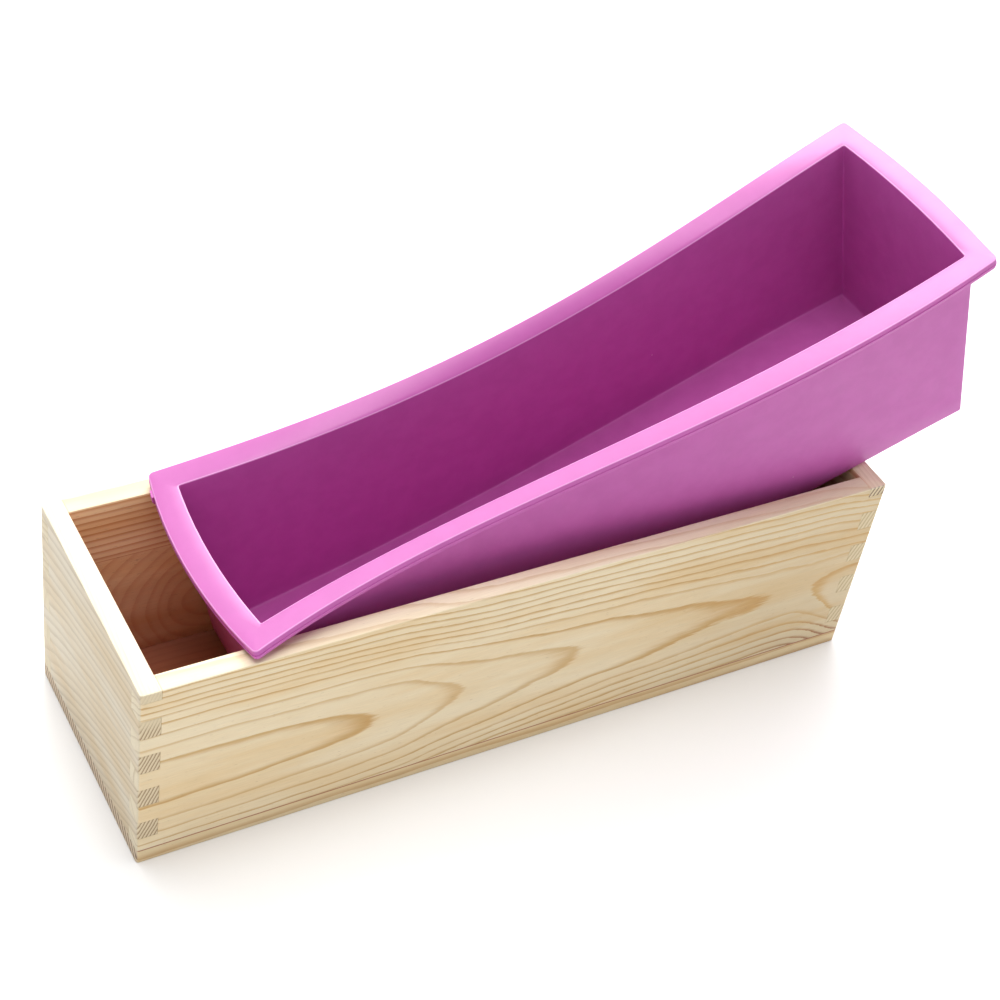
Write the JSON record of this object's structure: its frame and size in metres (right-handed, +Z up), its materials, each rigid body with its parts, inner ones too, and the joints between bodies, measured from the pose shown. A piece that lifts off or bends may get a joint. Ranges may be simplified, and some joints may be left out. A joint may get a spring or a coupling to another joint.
{
  "type": "soap loaf mould",
  "caption": "Flexible silicone soap loaf liner leaning in an open finger-jointed pine box, shown part way through lifting out.",
  "frame": {"origin": "middle of the underside of the base board", "axes": "+X along the length of the box towards the end that the liner overhangs, +Y from the front long board to the back one, +Z up"},
  "size_m": [0.3155, 0.0909, 0.1737],
  "materials": {
    "pine_long_boards": "planed and sanded, unfinished pine with honey-coloured grain lines",
    "pine_end_boards": "planed and sanded, unfinished pine with fine straight grain",
    "pine_base": "planed and sanded, unfinished pine",
    "purple_silicone": "satin moulded silicone, orchid purple"
  },
  "bodies": {
    "wood_box": {"base_board": "pine_base", "front_board": "pine_long_boards", "back_board": "pine_long_boards", "left_end_board": "pine_end_boards", "right_end_board": "pine_end_boards"},
    "liner": {"silicone_liner": "purple_silicone"}
  },
  "joints": [
    {"name": "liner_lift", "type": "slide", "parent": "wood_box", "child": "liner", "axis": [0, 0, 1], "range_m": [0, 0.1]}
  ]
}
